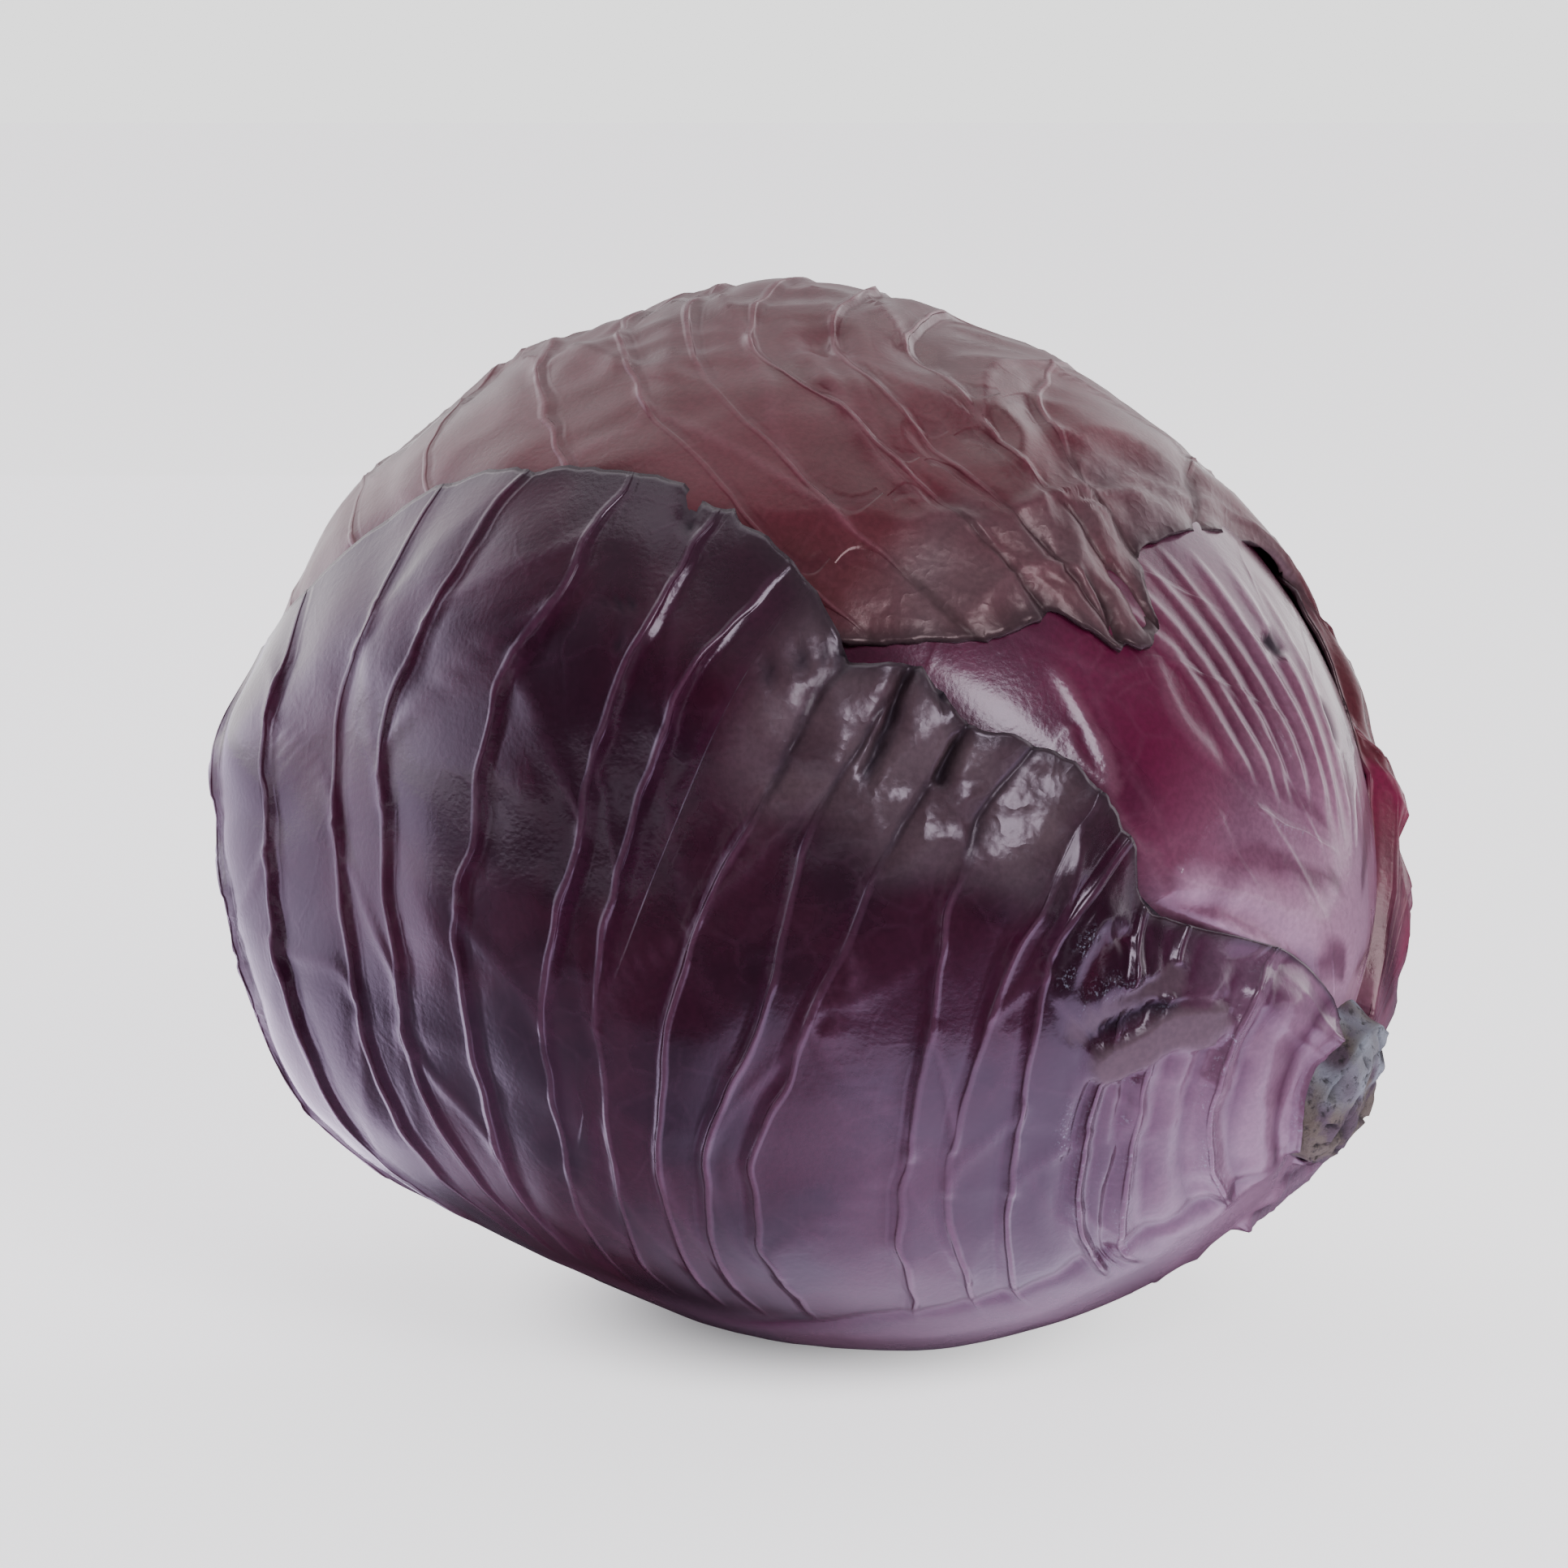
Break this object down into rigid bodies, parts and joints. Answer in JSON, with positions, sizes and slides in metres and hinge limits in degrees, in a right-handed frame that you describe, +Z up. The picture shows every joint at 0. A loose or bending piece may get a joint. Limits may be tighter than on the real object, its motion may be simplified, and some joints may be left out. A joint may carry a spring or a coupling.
{
  "type": "red cabbage head",
  "caption": "Whole head of red cabbage lying on its side: a dense round head in overlapping ribbed wrapper leaves with torn margins, and a cut stump at one end.",
  "frame": {"origin": "on the surface the head lies on, under the middle of its box", "axes": "+Z up; +X is the longest extent, towards the stump; -Y is the side seen in the picture; -Z is the flat spot it rests on"},
  "size_m": [0.1733, 0.1549, 0.1524],
  "materials": {
    "inner_head": "waxy dark purple leaf",
    "leaf": "waxy red cabbage leaf, satin, with pale ribs",
    "stump": "cut stem, dry and matt"
  },
  "bodies": {
    "root": {"inner_head": "inner_head", "leaf_under": "leaf", "leaf_side": "leaf", "leaf_top": "leaf", "leaf_front": "leaf", "stump": "stump"}
  },
  "joints": []
}
